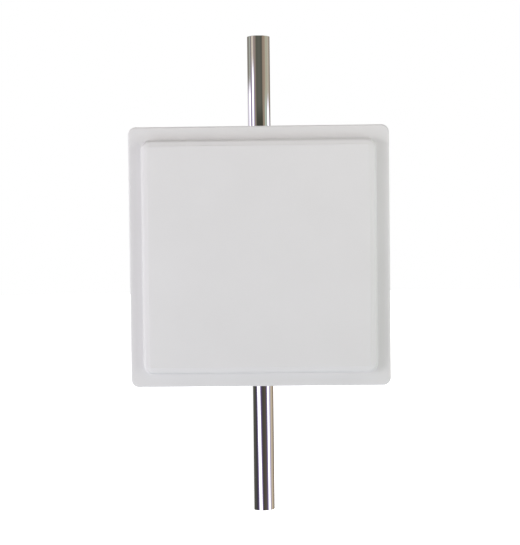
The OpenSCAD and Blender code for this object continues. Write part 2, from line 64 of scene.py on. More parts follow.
class Graph:
    """Short names for building a node tree."""

    def __init__(self, tree):
        self.tree = tree
        self.links = tree.links

    def new(self, kind, **settings):
        node = self.tree.nodes.new(kind)
        for key, value in settings.items():
            setattr(node, key, value)
        return node

    def put(self, value, socket):
        if isinstance(value, bpy.types.NodeSocket):
            self.links.new(value, socket)
        elif value is not None:
            socket.default_value = value

    def put_all(self, node, **values):
        """Fills sockets by name, with _ for each space in a socket's name."""
        for name, value in values.items():
            self.put(value, node.inputs[name.replace("_", " ")])

    def math(self, operation, a, b=None):
        node = self.new("ShaderNodeMath", operation=operation)
        self.put(a, node.inputs[0])
        self.put(b, node.inputs[1])
        return node.outputs[0]

    def blend(self, share, a, b):
        """This share of a and the rest of b."""
        return self.math("ADD", self.math("MULTIPLY", a, share), self.math("MULTIPLY", b, 1.0 - share))

    def step(self, value, low, high, to_low=0.0, to_high=1.0, smooth=True):
        """Carries value from low to high over to to_low to to_high, and holds it at the ends."""
        node = self.new("ShaderNodeMapRange", interpolation_type="SMOOTHSTEP" if smooth else "LINEAR")
        self.put_all(node, Value=value, From_Min=low, From_Max=high, To_Min=to_low, To_Max=to_high)
        return node.outputs["Result"]

    def ramp(self, value, stops):
        node = self.new("ShaderNodeValToRGB")
        elements = node.color_ramp.elements
        elements[0].position, elements[0].color = stops[0]
        elements[1].position, elements[1].color = stops[-1]
        for position, colour in stops[1:-1]:
            elements.new(position).color = colour
        self.put_all(node, Fac=value)
        return node.outputs["Color"]

    def mix(self, factor, a, b, blend_type="MIX"):
        node = self.new("ShaderNodeMix", data_type="RGBA", blend_type=blend_type)
        self.put(factor, node.inputs[0])
        self.put(a, node.inputs[6])
        self.put(b, node.inputs[7])
        return node.outputs[2]

    def noise(self, vector, scale, detail, roughness):
        node = self.new("ShaderNodeTexNoise")
        self.put_all(node, Vector=vector, Scale=scale, Detail=detail, Roughness=roughness)
        return node.outputs["Fac"]

    def place(self, scale=(1, 1, 1)):
        """The object's own position, in metres, stretched by scale."""
        coordinates = self.new("ShaderNodeTexCoord")
        mapping = self.new("ShaderNodeMapping")
        self.put_all(mapping, Vector=coordinates.outputs["Object"], Scale=scale)
        return mapping.outputs["Vector"]

    def bump(self, height, strength, distance, normal=None):
        node = self.new("ShaderNodeBump")
        self.put_all(node, Height=height, Strength=strength, Distance=distance, Normal=normal)
        return node.outputs["Normal"]


def new_material(name):
    material = bpy.data.materials.new(name)
    material.use_nodes = True
    graph = Graph(material.node_tree)
    material.node_tree.nodes.clear()
    shader = graph.new("ShaderNodeBsdfPrincipled")
    output = graph.new("ShaderNodeOutputMaterial")
    graph.links.new(shader.outputs[0], output.inputs["Surface"])
    return material, graph, shader


def grained(name, dark, light, metallic, rough, grain, depth, patch, stretch=(1, 1, 1)):
    """A material that drifts from dark to light in soft patches, with a fine grain in bump and gloss."""
    material, graph, shader = new_material(name)
    patches = graph.noise(graph.place(), patch, 4.0, 0.6)
    fine = graph.noise(graph.place(stretch), grain, 4.0, 0.62)
    both = graph.blend(0.6, patches, fine)
    graph.put(graph.ramp(both, [(0.32, dark), (0.68, light)]), shader.inputs["Base Color"])
    graph.put(graph.step(both, 0.3, 0.7, rough[0], rough[1], False), shader.inputs["Roughness"])
    graph.put(graph.bump(fine, 1.0, depth), shader.inputs["Normal"])
    shader.inputs["Metallic"].default_value = metallic
    return material


# ---------------------------------------------------------------- materials


def make_chrome():
    """Mirror chrome on drawn tube: faint lengthwise polishing lines and a slow waver in the reflections."""
    material, graph, shader = new_material("mirror_chrome")
    lines = graph.noise(graph.place((900, 900, 3.0)), 1.0, 3.0, 0.6)
    haze = graph.noise(graph.place(), 30.0, 4.0, 0.6)
    graph.put(graph.mix(haze, (0.84, 0.84, 0.83, 1), (0.89, 0.89, 0.885, 1)), shader.inputs["Base Color"])
    gloss = graph.step(graph.blend(0.5, lines, haze), 0.3, 0.75, 0.018, 0.055, False)
    graph.put(gloss, shader.inputs["Roughness"])
    waver = graph.noise(graph.place((14, 14, 5)), 1.0, 2.0, 0.5)
    wavy = graph.bump(waver, 0.6, 0.00035)
    graph.put(graph.bump(lines, 0.5, 0.0000016, wavy), shader.inputs["Normal"])
    shader.inputs["Metallic"].default_value = 1.0
    return material


def make_radome_plastic():
    """Moulded off-white ABS: fine spark-eroded grain, faint mottling and shallow sink marks."""
    material, graph, shader = new_material("radome_abs")
    cloud = graph.noise(graph.place(), 9.0, 5.0, 0.55)
    speck = graph.noise(graph.place(), 420.0, 2.0, 0.5)
    whites = [(0.25, (0.80, 0.80, 0.80, 1)), (0.75, (0.83, 0.83, 0.833, 1))]
    graph.put(graph.ramp(graph.blend(0.7, cloud, speck), whites), shader.inputs["Base Color"])
    graph.put(graph.step(cloud, 0.3, 0.7, 0.40, 0.47, False), shader.inputs["Roughness"])
    grain = graph.noise(graph.place(), 1500.0, 3.0, 0.6)
    sink = graph.noise(graph.place(), 6.0, 2.0, 0.4)
    sunken = graph.bump(sink, 0.5, 0.00025)
    graph.put(graph.bump(grain, 0.35, 0.00003, sunken), shader.inputs["Normal"])
    shader.inputs["IOR"].default_value = 1.52
    shader.inputs["Subsurface Weight"].default_value = 0.04
    shader.inputs["Subsurface Radius"].default_value = (0.004, 0.004, 0.004)
    shader.inputs["Subsurface Scale"].default_value = 0.5
    return material


def make_galvanised():
    """Hot-dipped sheet: soft spangles in tone and gloss over a fine pitted grain."""
    material, graph, shader = new_material("galvanised_steel")
    cells = graph.new("ShaderNodeTexVoronoi", feature="F1")
    graph.put_all(cells, Vector=graph.place(), Scale=110.0, Randomness=1.0)
    cell_tone = graph.new("ShaderNodeSeparateColor")
    graph.put(cells.outputs["Color"], cell_tone.inputs[0])
    haze = graph.noise(graph.place(), 40.0, 5.0, 0.6)
    both = graph.blend(0.45, cell_tone.outputs[0], haze)
    greys = [(0.2, (0.42, 0.44, 0.46, 1)), (0.5, (0.55, 0.57, 0.59, 1)), (0.85, (0.68, 0.70, 0.71, 1))]
    graph.put(graph.ramp(both, greys), shader.inputs["Base Color"])
    graph.put(graph.step(both, 0.2, 0.8, 0.46, 0.28, False), shader.inputs["Roughness"])
    pits = graph.noise(graph.place(), 700.0, 4.0, 0.65)
    graph.put(graph.bump(pits, 0.5, 0.00003), shader.inputs["Normal"])
    shader.inputs["Metallic"].default_value = 0.95
    return material


def make_board():
    """Green circuit board: glossy solder mask over a faint woven glass cloth."""
    material, graph, shader = new_material("circuit_board")
    threads = []
    for direction in ("X", "Z"):
        weave = graph.new("ShaderNodeTexWave", wave_type="BANDS", bands_direction=direction)
        graph.put_all(weave, Vector=graph.place(), Scale=900.0)
        threads.append(weave.outputs["Fac"])
    cloth = graph.math("MULTIPLY", *threads)
    graph.put(graph.mix(cloth, (0.015, 0.075, 0.025, 1), (0.03, 0.12, 0.045, 1)), shader.inputs["Base Color"])
    graph.put(graph.bump(cloth, 0.3, 0.00003), shader.inputs["Normal"])
    shader.inputs["Roughness"].default_value = 0.28
    shader.inputs["Coat Weight"].default_value = 0.3
    return material


zinc = grained(
    "bright_zinc", (0.50, 0.52, 0.54, 1), (0.70, 0.71, 0.70, 1),
    metallic=1.0, rough=(0.24, 0.38), grain=600.0, depth=0.00002, patch=60.0)
cast = grained(
    "cast_aluminium", (0.40, 0.41, 0.42, 1), (0.55, 0.56, 0.57, 1),
    metallic=0.9, rough=(0.48, 0.64), grain=520.0, depth=0.00012, patch=30.0)
sheet = grained(
    "rolled_aluminium", (0.58, 0.59, 0.60, 1), (0.70, 0.70, 0.70, 1),
    metallic=1.0, rough=(0.30, 0.44), grain=240.0, depth=0.000012, patch=7.0, stretch=(0.06, 1, 3))
steel = grained(
    "stainless", (0.50, 0.50, 0.50, 1), (0.66, 0.66, 0.65, 1),
    metallic=1.0, rough=(0.22, 0.34), grain=900.0, depth=0.00001, patch=80.0)
nickel = grained(
    "nickel", (0.56, 0.54, 0.50, 1), (0.70, 0.68, 0.63, 1),
    metallic=1.0, rough=(0.16, 0.28), grain=700.0, depth=0.00001, patch=70.0)
brass = grained(
    "rolled_brass", (0.60, 0.45, 0.19, 1), (0.78, 0.62, 0.30, 1),
    metallic=1.0, rough=(0.26, 0.40), grain=300.0, depth=0.00001, patch=12.0, stretch=(0.1, 1, 2))
copper = grained(
    "copper", (0.60, 0.28, 0.15, 1), (0.78, 0.42, 0.26, 1),
    metallic=1.0, rough=(0.24, 0.38), grain=500.0, depth=0.00001, patch=30.0)
nylon = grained(
    "nylon", (0.70, 0.67, 0.58, 1), (0.80, 0.78, 0.70, 1),
    metallic=0.0, rough=(0.36, 0.48), grain=700.0, depth=0.00002, patch=50.0)
liner_plastic = grained(
    "liner_nylon", (0.018, 0.019, 0.02, 1), (0.035, 0.036, 0.038, 1),
    metallic=0.0, rough=(0.40, 0.56), grain=800.0, depth=0.00005, patch=40.0)
black_plastic = grained(
    "black_plastic", (0.012, 0.012, 0.013, 1), (0.028, 0.028, 0.03, 1),
    metallic=0.0, rough=(0.38, 0.55), grain=800.0, depth=0.00005, patch=40.0)
rubber = grained(
    "rubber", (0.010, 0.010, 0.010, 1), (0.022, 0.022, 0.022, 1),
    metallic=0.0, rough=(0.68, 0.82), grain=900.0, depth=0.00006, patch=50.0)

# The record's material slots, each with its material.
FINISH = {
    "chrome_tube": make_chrome(), "radome_plastic": make_radome_plastic(), "circuit_board": make_board(),
    "galvanised_sheet": make_galvanised(), "cast_aluminium": cast, "back_aluminium": sheet,
    "zinc_steel": zinc, "stainless_screw": steel, "nickel_plate": nickel, "patch_brass": brass,
    "pin_brass": brass, "copper_track": copper, "black_plastic": black_plastic,
    "liner_plastic": liner_plastic, "nylon": nylon, "seal_rubber": rubber,
}
SLOT_OF = {part["node"]: part["material_slot"] for part in frame["record"]["subparts"]}
for node_name, slot_name in SLOT_OF.items():
    for material_slot in nodes[node_name].material_slots:
        material_slot.material = FINISH[slot_name]


def body_of(node_name):
    bodies = frame["record"]["behaviour"]["bodies"]
    return next(body for body, held in bodies.items() if node_name in held)


# ---------------------------------------------------------------- mesh helpers


def add_piece(name, bm, node_name, sharp=32.0):
    """Puts the mesh in a CAD node's place, smooth-shaded, with edges of more than sharp degrees kept hard."""
    bmesh.ops.recalc_face_normals(bm, faces=bm.faces)
    for face in bm.faces:
        face.smooth = True
    for edge in bm.edges:
        if len(edge.link_faces) == 2 and edge.calc_face_angle(0.0) > math.radians(sharp):
            edge.smooth = False
    mesh = bpy.data.meshes.new(name)
    bm.to_mesh(mesh)
    bm.free()
    piece = bpy.data.objects.new(name, mesh)
    scene.collection.objects.link(piece)
    mesh.materials.append(FINISH[SLOT_OF[node_name]])
    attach(piece, body_of(node_name))
    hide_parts(node_name)


def band(bm, low_ring, high_ring):
    """A band of faces between two rings of as many vertices each."""
    for i, corner in enumerate(low_ring):
        j = (i + 1) % len(low_ring)
        bm.faces.new((corner, low_ring[j], high_ring[j], high_ring[i]))


def loft(bm, rings):
    """Joins rings of points into one skin, and returns its rings of vertices."""
    made = [[bm.verts.new(point) for point in ring] for ring in rings]
    for low_ring, high_ring in zip(made, made[1:]):
        band(bm, low_ring, high_ring)
    return made


def fillet(centre, radius, start, end, steps):
    """Points of an arc in a section, as (distance, height), from start to end degrees."""
    angles = [math.radians(start + (end - start) * i / steps) for i in range(steps + 1)]
    return [(centre[0] + radius * math.cos(a), centre[1] + radius * math.sin(a)) for a in angles]


# ---------------------------------------------------------------- the radome

radome_low, radome_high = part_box("radome")
half_width = (radome_high.x - radome_low.x) / 2 / MM
centre_x = (radome_low.x + radome_high.x) / 2
centre_z = (radome_low.z + radome_high.z) / 2
rear_y = radome_high.y

# The moulding, in mm. Depths are from its rear edge.
FLANGE = 21.0
RIM_R = 13.0
RIM_DEPTH = 14.0
EDGE_R = 3.0
FACE_DEPTH = 36.0
DRAFT = 10.0
FOOT_R = 2.0
FOOT_CORNER_R = 18.0
SHOULDER_R = 5.0
SHOULDER_END = 78
SHOULDER_DROP = 2.2
LEDGE_W = 4.2
STEP_H = 1.06
INSIDE_H = 33.0
CORNER_STEPS = 16
SIDE_STEPS = 10


def square_ring(centre, radius, height):
    """A square ring, in mm, with round corners of this radius whose centres are at +-centre."""
    points = []
    for quarter in range(4):
        turn = math.radians(90 * quarter)
        for i in range(CORNER_STEPS + 1):
            a = math.radians(90 * i / CORNER_STEPS)
            points.append((turn, centre + radius * math.cos(a), centre + radius * math.sin(a)))
        for i in range(1, SIDE_STEPS):
            points.append((turn, centre - 2 * centre * i / SIDE_STEPS, centre + radius))
    ring = []
    for turn, side, up in points:
        x = side * math.cos(turn) - up * math.sin(turn)
        z = side * math.sin(turn) + up * math.cos(turn)
        ring.append(Vector((centre_x + x * MM, rear_y - height * MM, centre_z + z * MM)))
    return ring


def radome_sections():
    """The moulding's section from inside the rim over the edge to the face, as (centre, radius, height)."""
    rim = half_width - RIM_R
    raised = half_width - FLANGE - FOOT_CORNER_R
    foot = fillet((FOOT_CORNER_R, RIM_DEPTH + FOOT_R), FOOT_R, 270, 180 + DRAFT, 6)
    foot_top = foot[-1]
    shoulder_u = FACE_DEPTH - SHOULDER_DROP - SHOULDER_R
    wall_top = shoulder_u + SHOULDER_R * math.sin(math.radians(DRAFT))
    shoulder_d = foot_top[0] - math.tan(math.radians(DRAFT)) * (wall_top - foot_top[1])
    shoulder_d -= SHOULDER_R * math.cos(math.radians(DRAFT))
    crown = fillet((shoulder_d, shoulder_u), SHOULDER_R, DRAFT, SHOULDER_END, 10)
    crown_end = crown[-1]
    ledge = crown_end[0] - LEDGE_W
    step_up = [
        (ledge + 0.35, FACE_DEPTH - STEP_H), (ledge + 0.05, FACE_DEPTH - 0.98),
        (ledge - 0.2, FACE_DEPTH - 0.78), (ledge - 0.55, FACE_DEPTH - 0.25),
        (ledge - 0.8, FACE_DEPTH - 0.06), (ledge - 1.15, FACE_DEPTH),
    ]
    edge = [
        (9.9, 11.0), (10.0, 10.4), (10.0, 1.0), (10.25, 0.35), (10.8, 0.0), (12.3, 0.0), (12.8, 0.25),
        (RIM_R, 0.8), (RIM_R, 5.0), (RIM_R, 9.0),
    ]
    edge += fillet((RIM_R - EDGE_R, RIM_DEPTH - EDGE_R), EDGE_R, 4, 90, 8)
    edge += [(RIM_R - 5.5, RIM_DEPTH)]
    front = [(21.0, RIM_DEPTH), (18.6, RIM_DEPTH)] + foot
    front += [(foot_top[0] - 1.2, foot_top[1] + 6.8)] + crown
    front += [((crown_end[0] * 2 + ledge) / 3, (crown_end[1] * 2 + FACE_DEPTH - STEP_H) / 3)] + step_up
    return raised, [(rim, d, u) for d, u in edge] + [(raised, d, u) for d, u in front]


def make_radome():
    raised, sections = radome_sections()
    inside = [(2.0, INSIDE_H), (6.2, INSIDE_H), (8.8, 30.6), (10.6, 18.0), (11.8, 11.0)]
    rings = [square_ring(raised, radius, height) for radius, height in inside]
    rings += [square_ring(*section) for section in sections]
    last_radius = sections[-1][1]
    for share in (0.985, 0.96, 0.90, 0.80, 0.66, 0.50, 0.34, 0.18, 0.06):
        rings.append(square_ring(raised * share, last_radius * share, FACE_DEPTH))
    bm = bmesh.new()
    made = loft(bm, rings)
    bm.faces.new(list(reversed(made[0])))
    bm.faces.new(made[-1])
    add_piece("radome_skin", bm, "radome", 40.0)


make_radome()

# ---------------------------------------------------------------- turned, hexagonal and threaded pieces

AROUND = 48
AXES = {
    "+y": Matrix(((1, 0, 0, 0), (0, 0, 1, 0), (0, -1, 0, 0), (0, 0, 0, 1))),
    "-y": Matrix(((1, 0, 0, 0), (0, 0, -1, 0), (0, 1, 0, 0), (0, 0, 0, 1))),
    "+x": Matrix(((0, 0, 1, 0), (0, 1, 0, 0), (-1, 0, 0, 0), (0, 0, 0, 1))),
    "-x": Matrix(((0, 0, -1, 0), (0, 1, 0, 0), (1, 0, 0, 0), (0, 0, 0, 1))),
    "+z": Matrix.Identity(4),
}
# A hexagon's round end face as a share of its width over flats, and a thread's depth as one of its pitch.
HEX_FACE = 0.475
THREAD_DEPTH = 0.61


def solids(name):
    """The middle, lowest and highest corner of each separate solid of a CAD node, in mm."""
    source = nodes[name]
    bm = bmesh.new()
    bm.from_mesh(source.data)
    bmesh.ops.transform(bm, matrix=source.matrix_world, verts=bm.verts)
    bmesh.ops.remove_doubles(bm, verts=bm.verts, dist=1e-5)
    left = set(bm.verts)
    found = []
    for start in bm.verts:
        if start not in left:
            continue
        left.discard(start)
        stack = [start]
        points = []
        while stack:
            vert = stack.pop()
            points.append(vert.co / MM)
            for edge in vert.link_edges:
                other = edge.other_vert(vert)
                if other in left:
                    left.discard(other)
                    stack.append(other)
        lowest = Vector(min(p[i] for p in points) for i in range(3))
        highest = Vector(max(p[i] for p in points) for i in range(3))
        found.append(((lowest + highest) / 2, lowest, highest))
    bm.free()
    return found


def at(x, y, z, axis):
    """Places a piece drawn in mm up its own Z, with its origin at x, y, z and its Z along axis."""
    return Matrix.Diagonal((MM, MM, MM, 1)) @ Matrix.Translation((x, y, z)) @ AXES[axis]


def spoke(r, i, z, steps=AROUND):
    """The point of a ring at its step i."""
    a = math.tau * i / steps
    return (r * math.cos(a), r * math.sin(a), z)


def circle(r, z):
    return [spoke(r, i, z) for i in range(AROUND)]


def hex_reach(i, flats):
    """Distance from the axis to the side of a hexagon at step i of the ring."""
    corner = math.tau / 6
    return flats / 2 / math.cos((math.tau * i / AROUND) % corner - corner / 2)


def hex_ring(flats, z, turned_down=0.0):
    """A hexagonal ring with its corners turned down to a 30 degree cone, towards -Z or +Z by the sign."""
    ring = []
    for i in range(AROUND):
        r = hex_reach(i, flats)
        drop = max(0.0, r - flats * HEX_FACE) * math.tan(math.radians(30)) * turned_down
        ring.append(spoke(r, i, z - drop))
    return ring


def ring_at(bm, place, ring):
    return [bm.verts.new(place @ Vector(point)) for point in ring]


def skin(bm, place, rings, closed=False, first=None):
    """Joins rings of points into one skin, from the vertices in first if given. Returns the last ring."""
    made = [first] if first else []
    made += [ring_at(bm, place, ring) for ring in rings]
    for low_ring, high_ring in zip(made, made[1:]):
        band(bm, low_ring, high_ring)
    if closed:
        band(bm, made[-1], made[0])
    elif not first:
        bm.faces.new(list(reversed(made[0])))
    return made[-1]


def thread(bm, place, start, z0, z1, smooth_r, root_r, crest_r, pitch):
    """Carries a skin on from the ring start, at z0, as a helical thread that ends in a flat ring at z1."""
    profile = (0.0, 0.5, 1.0, 1.0, 0.5, 0.0)
    per_turn = len(profile)
    up = 1.0 if z1 > z0 else -1.0
    rise = pitch / per_turn
    rows = int((abs(z1 - z0) - pitch - 0.4 * rise) / rise) + 1
    fade = 1.3 * pitch

    def radius(row, travelled):
        run_in = min(1.0, travelled / fade)
        run_out = min(1.0, max(0.0, (abs(z1 - z0) - travelled) / fade))
        low_r = smooth_r + (root_r - smooth_r) * run_in
        high_r = root_r + (smooth_r + (crest_r - smooth_r) * run_in - root_r) * run_out
        return low_r + (high_r - low_r) * profile[row % per_turn]

    grid = []
    for row in range(rows):
        ring = []
        for i in range(AROUND):
            travelled = 0.2 * rise + rise * (row + per_turn * i / AROUND)
            ring.append(spoke(radius(row, travelled), i, z0 + up * travelled))
        grid.append(ring_at(bm, place, ring))
    end = ring_at(bm, place, circle(root_r, z1))
    last = AROUND - 1
    for low_ring, high_ring in [(start, grid[0])] + list(zip(grid, grid[1:])) + [(grid[-1], end)]:
        for i in range(last):
            bm.faces.new((low_ring[i], low_ring[i + 1], high_ring[i + 1], high_ring[i]))
    # The last column meets the first one a turn further on, and a face closes the thread at each end.
    for row in range(rows - 1 - per_turn):
        above = row + per_turn
        bm.faces.new((grid[row][last], grid[above][0], grid[above + 1][0], grid[row + 1][last]))
    bm.faces.new([start[last], start[0]] + [grid[row][0] for row in range(per_turn + 1)] + [grid[0][last]])
    last_turn = [grid[row][last] for row in range(rows - 1, rows - 2 - per_turn, -1)]
    bm.faces.new(last_turn + [grid[-1][0], end[0], end[last]])
    return end


def threaded_tip(bm, place, ring, thread_from, tip, shank_r, pitch):
    """Carries a bolt or stud on from its shank as a thread, up to tip."""
    root_r = shank_r - THREAD_DEPTH * pitch
    return thread(bm, place, ring, thread_from, tip, shank_r, root_r, shank_r - 0.02, pitch)


def hex_bolt(bm, place, flats, head_h, shank_r, thread_from, tip, pitch):
    """A bolt whose head hangs below z = 0 and whose shank runs up to tip, threaded from thread_from on."""
    face_r = flats * HEX_FACE
    ring = skin(bm, place, [
        circle(face_r * 0.62, -head_h + 0.25), circle(face_r * 0.68, -head_h), circle(face_r, -head_h),
        hex_ring(flats, -head_h, -1.0), hex_ring(flats, -0.35), circle(face_r, -0.3), circle(face_r, 0.0),
        circle(shank_r + 0.3, 0.0), circle(shank_r, 0.3), circle(shank_r, thread_from)])
    ring = threaded_tip(bm, place, ring, thread_from, tip - 0.6, shank_r, pitch)
    chamfer = [circle(shank_r - 0.85 * pitch, tip - 0.1), circle(shank_r - pitch, tip)]
    ring = skin(bm, place, chamfer, first=ring)
    bm.faces.new(ring)


def hex_nut(bm, place, flats, height, bore_r):
    face_r = flats * HEX_FACE
    lead = 0.5
    skin(bm, place, [
        circle(bore_r, lead), circle(bore_r + lead, 0.0), circle(face_r, 0.0), hex_ring(flats, 0.0, -1.0),
        hex_ring(flats, height, 1.0), circle(face_r, height), circle(bore_r + lead, height),
        circle(bore_r, height - lead)], closed=True)


def washer(bm, place, outer_r, bore_r, thick):
    soft = 0.16
    skin(bm, place, [
        circle(bore_r, soft), circle(bore_r + soft, 0.0), circle(outer_r - soft, 0.0), circle(outer_r, soft),
        circle(outer_r, thick - soft), circle(outer_r - soft, thick), circle(bore_r + soft, thick),
        circle(bore_r, thick - soft)], closed=True)


def split_washer(bm, place, outer_r, bore_r, thick, z, turn):
    """A square-section spring washer, cut through on a slant and pressed nearly flat."""
    soft = 0.18
    steps = 60
    half_gap = 5.0
    slant = 9.0
    section = [
        (bore_r + soft, 0), (outer_r - soft, 0), (outer_r, soft), (outer_r, thick - soft),
        (outer_r - soft, thick), (bore_r + soft, thick), (bore_r, thick - soft), (bore_r, soft)]
    rings = []
    for i in range(steps + 1):
        ring = []
        for r, h in section:
            a = math.radians(turn + half_gap + (360 - 2 * half_gap) * i / steps + (h / thick - 0.5) * slant)
            ring.append((r * math.cos(a), r * math.sin(a), z + h))
        rings.append(ring_at(bm, place, ring))
    for low_ring, high_ring in zip(rings, rings[1:]):
        band(bm, low_ring, high_ring)
    bm.faces.new(list(reversed(rings[0])))
    bm.faces.new(rings[-1])


def socket_screw(bm, place, shank_r, head_r, head_h, length, key):
    """A domed screw with a hexagon socket: the head stands on z = 0 and the shank runs down."""
    angles = [math.radians(degrees) for degrees in (0, 12, 24, 36, 48, 58)]
    dome = [(head_r * math.cos(t), head_h * (0.16 + 0.84 * math.sin(t))) for t in angles]
    top = dome[-1][1]
    mouth = key / 2 / math.cos(math.radians(30)) + 0.18
    rings = [
        circle(shank_r * 0.7, -length), circle(shank_r, -length + 0.4), circle(shank_r, -0.2),
        circle(shank_r + 0.15, 0.0), circle(head_r - 0.1, 0.0)]
    rings += [circle(r, h) for r, h in dome]
    rings += [circle(mouth, top + 0.04), hex_ring(key, top - 0.12), hex_ring(key, top - head_h * 0.62)]
    rings += [circle(key * 0.16, top - head_h * 0.8)]
    bm.faces.new(skin(bm, place, rings))


# ---------------------------------------------------------------- mast


def make_mast_tube():
    """The drawn tube, with slightly rounded saw-cut ends."""
    lowest, highest = (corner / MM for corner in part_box("mast_tube"))
    outer = (highest.x - lowest.x) / 2
    bore = outer - 1.5
    soft = 0.3
    steps = 160
    lengths = 12
    bottom = lowest.z
    top = highest.z
    outline = [(bore, bottom + soft), (bore + soft, bottom), (outer - soft, bottom), (outer, bottom + soft)]
    outline += [(outer, bottom + (top - bottom) * i / lengths) for i in range(1, lengths)]
    outline += [(outer, top - soft), (outer - soft, top), (bore + soft, top), (bore, top - soft)]
    bm = bmesh.new()
    made = loft(bm, [[Vector(spoke(r, i, z, steps)) * MM for i in range(steps)] for r, z in outline])
    band(bm, made[-1], made[0])
    add_piece("chrome_mast", bm, "mast_tube")


def make_foot_bush():
    """The steel bush in the foot, with a real M16 thread cut in it."""
    lowest, highest = (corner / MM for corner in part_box("foot_bush"))
    outer = (highest.x - lowest.x) / 2
    height = highest.z - lowest.z
    bore, thread_depth, pitch = 7.0, 1.1, 2.0
    lead, soft = 1.2, 0.5
    bm = bmesh.new()
    place = at(0, 0, lowest.z, "+z")
    outside = [
        circle(bore, height - lead), circle(bore + lead, height), circle(outer - soft, height),
        circle(outer, height - soft), circle(outer, soft), circle(outer - soft, 0.0),
        circle(bore + lead, 0.0), circle(bore, lead)]
    made = loft(bm, [[place @ Vector(point) for point in ring] for ring in outside])
    end = thread(bm, place, made[-1], lead, height - 1.6, bore, bore, bore + thread_depth, pitch)
    band(bm, end, made[0])
    add_piece("threaded_foot_bush", bm, "foot_bush")


# ---------------------------------------------------------------- fasteners


def fastener(piece_name, node_name, draw):
    """Replaces a CAD node with a detailed piece. draw(bm, middle, lowest, highest) makes each solid of it."""
    bm = bmesh.new()
    for middle, lowest, highest in solids(node_name):
        draw(bm, middle, lowest, highest)
    add_piece(piece_name, bm, node_name, 25.0)


# Fasteners, in mm. A gap is the bore's radius less the shank's.
M8_R = 4.0
M8_PITCH = 1.25
M8_FLATS = 13.0
M8_HEAD = 5.3
M8_SPRING_R = 7.1
M8_SPRING_T = 2.0
M6_R = 3.0
M6_PITCH = 1.0
M6_FLATS = 10.0
M6_SPRING_R = 5.5
WASHER_T = 1.6
NUT_GAP = 0.03
SPRING_GAP = 0.15
M8_WASHER_GAP = 0.25
M6_WASHER_GAP = 0.2
CLAMP_THREAD = 26.0
CROSS_SHANK = 5.4


def clamp_bolt(bm, middle, lowest, highest):
    place = at(middle.x, lowest.y + M8_HEAD, middle.z, "+y")
    tip = highest.y - lowest.y - M8_HEAD
    hex_bolt(bm, place, M8_FLATS, M8_HEAD, M8_R, tip - CLAMP_THREAD, tip, M8_PITCH)


def jaw_nut(bm, middle, lowest, highest):
    hex_nut(bm, at(middle.x, lowest.y, middle.z, "+y"), M8_FLATS, highest.y - lowest.y, M8_R + NUT_GAP)


def plain_washer(bore_r):
    """A washer that lies flat against the panel's or the bracket's plane, as thick as its solid."""
    def draw(bm, middle, lowest, highest):
        place = at(middle.x, lowest.y, middle.z, "+y")
        washer(bm, place, (highest.x - lowest.x) / 2, bore_r, highest.y - lowest.y)
    return draw


def jaw_washer_pair(bm, middle, lowest, highest):
    place = at(middle.x, lowest.y, middle.z, "+y")
    gap_turn = 60.0 if middle.x > 0 else 200.0
    washer(bm, place, (highest.x - lowest.x) / 2, M8_R + M8_WASHER_GAP, WASHER_T)
    split_washer(bm, place, M8_SPRING_R, M8_R + SPRING_GAP, M8_SPRING_T, WASHER_T, gap_turn)


def cheek_place(middle, lowest, highest, inward=0.0):
    """The outer end of a cross bolt's solid, moved inward. Cross bolts run from their cheek to the middle."""
    if middle.x > 0:
        return at(highest.x - inward, middle.y, middle.z, "-x")
    return at(lowest.x + inward, middle.y, middle.z, "+x")


def cross_bolt(bm, middle, lowest, highest):
    tip = highest.x - lowest.x - M8_HEAD
    place = cheek_place(middle, lowest, highest, M8_HEAD)
    hex_bolt(bm, place, M8_FLATS, M8_HEAD, M8_R, CROSS_SHANK, tip, M8_PITCH)


def cross_nut(bm, middle, lowest, highest):
    place = cheek_place(middle, lowest, highest)
    hex_nut(bm, place, M8_FLATS, highest.x - lowest.x, M8_R + NUT_GAP)


def cross_washer(bm, middle, lowest, highest):
    place = cheek_place(middle, lowest, highest)
    washer(bm, place, (highest.y - lowest.y) / 2, M8_R + M8_WASHER_GAP, WASHER_T)
    if highest.x - lowest.x > 2 * WASHER_T:
        split_washer(bm, place, M8_SPRING_R, M8_R + SPRING_GAP, M8_SPRING_T, WASHER_T, 110.0)


def mount_stud(bm, middle, lowest, highest):
    """A clinch stud: a low round head inside the back plate and a threaded end behind it."""
    head_r, head_h, soft, shank = 4.6, 1.4, 0.3, 4.6
    place = at(middle.x, lowest.y, middle.z, "+y")
    tip = highest.y - lowest.y
    ring = skin(bm, place, [
        circle(head_r - soft, 0.0), circle(head_r, soft), circle(head_r, head_h - soft),
        circle(head_r - soft, head_h), circle(M6_R, head_h), circle(M6_R, shank)])
    ring = threaded_tip(bm, place, ring, shank, tip - 0.5, M6_R, M6_PITCH)
    ring = skin(bm, place, [circle(M6_R - 0.9, tip - 0.1), circle(M6_R - 1.0, tip)], first=ring)
    bm.faces.new(ring)


def stud_nut(bm, middle, lowest, highest):
    hex_nut(bm, at(middle.x, lowest.y, middle.z, "+y"), M6_FLATS, highest.y - lowest.y, M6_R + NUT_GAP)


def stud_spring(bm, middle, lowest, highest):
    place = at(middle.x, lowest.y, middle.z, "+y")
    thick = highest.y - lowest.y
    split_washer(bm, place, M6_SPRING_R, M6_R + SPRING_GAP, thick, 0.0, 25.0 + middle.x)


def rear_screw(head_h, key):
    """A screw whose head faces the rear."""
    def draw(bm, middle, lowest, highest):
        head_y = highest.y - head_h
        r = (highest.x - lowest.x) / 2
        place = at(middle.x, head_y, middle.z, "+y")
        socket_screw(bm, place, r * 0.52, r, head_h, head_y - lowest.y, key)
    return draw


def front_screw(bm, middle, lowest, highest):
    """A screw whose head faces the front."""
    head_h, key = 1.8, 2.0
    r = (highest.x - lowest.x) / 2
    place = at(middle.x, lowest.y + head_h, middle.z, "-y")
    socket_screw(bm, place, r * 0.53, r, head_h, highest.y - lowest.y - head_h, key)


